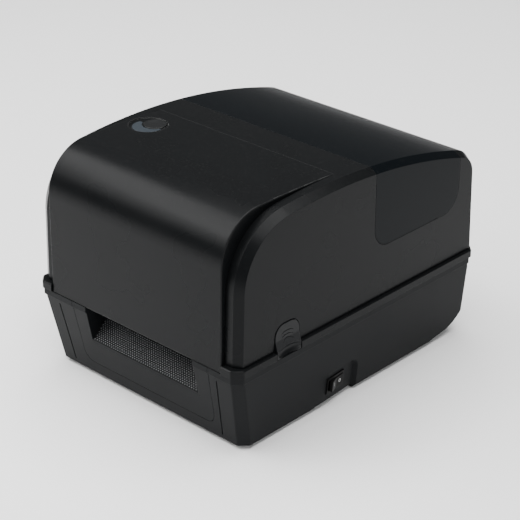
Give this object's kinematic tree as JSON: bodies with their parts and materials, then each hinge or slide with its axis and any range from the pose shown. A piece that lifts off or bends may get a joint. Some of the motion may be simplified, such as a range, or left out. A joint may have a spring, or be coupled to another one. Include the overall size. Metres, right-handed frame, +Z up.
{
  "type": "desktop label printer",
  "caption": "Desktop thermal-transfer label printer with a hinged clamshell lid, smoked window, front label exit, side latches and its ribbon, platen and media mechanism inside",
  "frame": {"origin": "on the surface the feet stand on, under the middle of the housing's outer box", "axes": "+Z up, +Y from the label exit towards the hinge, +X to the right seen from the front"},
  "size_m": [0.222, 0.284, 0.1905],
  "materials": {
    "aluminium": "anodised aluminium",
    "base_black": "fine texture, matte",
    "black_shell": "fine spark-eroded texture, satin sheen",
    "board_green": "solder-masked circuit board",
    "brass": "machined brass",
    "chip_black": "moulded component bodies",
    "gear_white": "natural acetal",
    "inner_grey": "moulded inner parts, matte",
    "latch_black": "fine texture, matte",
    "motor_black": "black painted steel",
    "platen_rubber": "ground silicone rubber",
    "port_black": "moulded connector",
    "port_metal": "tin-plated shell",
    "rubber": "soft rubber",
    "smoked": "glossy smoked polycarbonate",
    "spring_steel": "spring wire",
    "status_lens": "frosted light pipe",
    "steel": "brushed steel sheet",
    "switch_black": "semi-gloss nylon",
    "zinc_steel": "zinc-plated steel"
  },
  "bodies": {
    "base": {"base_tub": "base_black", "front_bezel": "base_black", "rubber_feet": "rubber", "base_screws": "zinc_steel", "media_tray": "inner_grey", "platen_frame_left": "steel", "platen_frame_right": "steel", "platen_bushes": "gear_white", "gear_posts": "zinc_steel", "stepper_motor": "motor_black", "tear_bar": "steel", "sensor_rod": "zinc_steel", "sensor_brackets": "inner_grey", "port_plate": "base_black", "main_board": "board_green", "board_posts": "zinc_steel", "board_parts": "chip_black", "dc_jack": "port_black", "usb_port": "port_metal", "network_port": "port_metal", "switch_housing": "switch_black", "hinge_brackets": "zinc_steel", "hinge_pins": "zinc_steel", "latch_keepers": "inner_grey"},
    "lid": {"lid_hinge_leaves": "zinc_steel", "lid_frame": "black_shell", "cover_shell": "black_shell", "centre_panel": "black_shell", "status_light": "status_lens", "button_board": "board_green", "smoked_window": "smoked", "latch_brackets": "inner_grey", "latch_pins": "zinc_steel", "module_sides": "steel", "module_cross_plate": "steel", "ribbon_guide_bars": "zinc_steel", "head_pivot_rod": "zinc_steel", "ribbon_motor": "motor_black", "lid_screws": "zinc_steel"},
    "left_latch": {"latch_left": "latch_black"},
    "right_latch": {"latch_right": "latch_black"},
    "button": {"feed_button": "black_shell"},
    "rocker": {"power_rocker": "switch_black"},
    "platen": {"platen_roller": "platen_rubber", "platen_shaft": "zinc_steel", "platen_gear": "gear_white"},
    "idler": {"idler_gear": "gear_white"},
    "pinion": {"motor_pinion": "brass", "motor_shaft": "zinc_steel"},
    "head": {"print_head": "aluminium", "head_bracket": "steel", "head_springs": "spring_steel"},
    "supply": {"ribbon_supply_spindle": "chip_black"},
    "takeup": {"ribbon_takeup_spindle": "chip_black", "takeup_gear": "gear_white"},
    "ribbon_drive": {"ribbon_pinion": "brass"},
    "left_guide": {"media_guide_left": "inner_grey"},
    "right_guide": {"media_guide_right": "inner_grey"},
    "guide_gear": {"guide_pinion": "gear_white"},
    "sensor": {"sensor_carriage": "chip_black"}
  },
  "joints": [
    {"name": "lid_hinge", "type": "hinge", "parent": "base", "child": "lid", "pos_m": [0, 0.1385, 0.066], "axis": [-1, 0, 0], "range_deg": [0, 75]},
    {"name": "left_latch_pivot", "type": "hinge", "parent": "lid", "child": "left_latch", "pos_m": [-0.1032, -0.0863, 0.0905], "axis": [0, 1, 0], "range_deg": [0, 6], "stiffness_Nm_per_rad": 0.12, "springref_deg": -11.46},
    {"name": "right_latch_pivot", "type": "hinge", "parent": "lid", "child": "right_latch", "pos_m": [0.1032, -0.0863, 0.0905], "axis": [0, -1, 0], "range_deg": [0, 6], "stiffness_Nm_per_rad": 0.12, "springref_deg": -11.46},
    {"name": "feed_button_press", "type": "slide", "parent": "lid", "child": "button", "axis": [0, 0, -1], "range_m": [0, 0.001], "stiffness_N_per_m": 500, "springref_m": -0.001},
    {"name": "power_rocker_throw", "type": "hinge", "parent": "base", "child": "rocker", "pos_m": [0.10223, -0.02685, 0.01787], "axis": [-0.0867, -0.0067, -0.9962], "range_deg": [0, 16]},
    {"name": "platen_spin", "type": "hinge", "parent": "base", "child": "platen", "pos_m": [0, -0.108, 0.06], "axis": [1, 0, 0], "continuous": true},
    {"name": "idler_spin", "type": "hinge", "parent": "base", "child": "idler", "pos_m": [-0.0797, -0.09854, 0.03707], "axis": [1, 0, 0], "continuous": true},
    {"name": "pinion_spin", "type": "hinge", "parent": "base", "child": "pinion", "pos_m": [-0.0797, -0.084, 0.0258], "axis": [1, 0, 0], "continuous": true},
    {"name": "head_pivot", "type": "hinge", "parent": "lid", "child": "head", "pos_m": [0, -0.066, 0.086], "axis": [-1, 0, 0], "range_deg": [0, 1.5], "stiffness_Nm_per_rad": 8, "springref_deg": -5.73},
    {"name": "supply_spin", "type": "hinge", "parent": "lid", "child": "supply", "pos_m": [0, -0.044, 0.122], "axis": [1, 0, 0], "continuous": true},
    {"name": "takeup_spin", "type": "hinge", "parent": "lid", "child": "takeup", "pos_m": [0, -0.098, 0.14], "axis": [1, 0, 0], "continuous": true},
    {"name": "ribbon_drive_spin", "type": "hinge", "parent": "lid", "child": "ribbon_drive", "pos_m": [-0.0775, -0.07834, 0.12623], "axis": [1, 0, 0], "continuous": true},
    {"name": "right_guide_slide", "type": "slide", "parent": "base", "child": "right_guide", "axis": [-1, 0, 0], "range_m": [0, 0.046]},
    {"name": "left_guide_slide", "type": "slide", "parent": "base", "child": "left_guide", "axis": [1, 0, 0], "range_m": [0, 0.046]},
    {"name": "guide_gear_turn", "type": "hinge", "parent": "base", "child": "guide_gear", "pos_m": [0, 0.05, 0.01], "axis": [0, 0, -1], "range_deg": [0, 330]},
    {"name": "sensor_slide", "type": "slide", "parent": "base", "child": "sensor", "axis": [1, 0, 0], "range_m": [-0.04, 0.04]}
  ],
  "couplings": [
    {"joint": "idler_spin", "follows": "platen_spin", "ratio": -1.0667},
    {"joint": "pinion_spin", "follows": "platen_spin", "ratio": 2},
    {"joint": "ribbon_drive_spin", "follows": "takeup_spin", "ratio": -4},
    {"joint": "left_guide_slide", "follows": "right_guide_slide", "ratio": 1},
    {"joint": "guide_gear_turn", "follows": "right_guide_slide", "rad_per_m": 125}
  ]
}
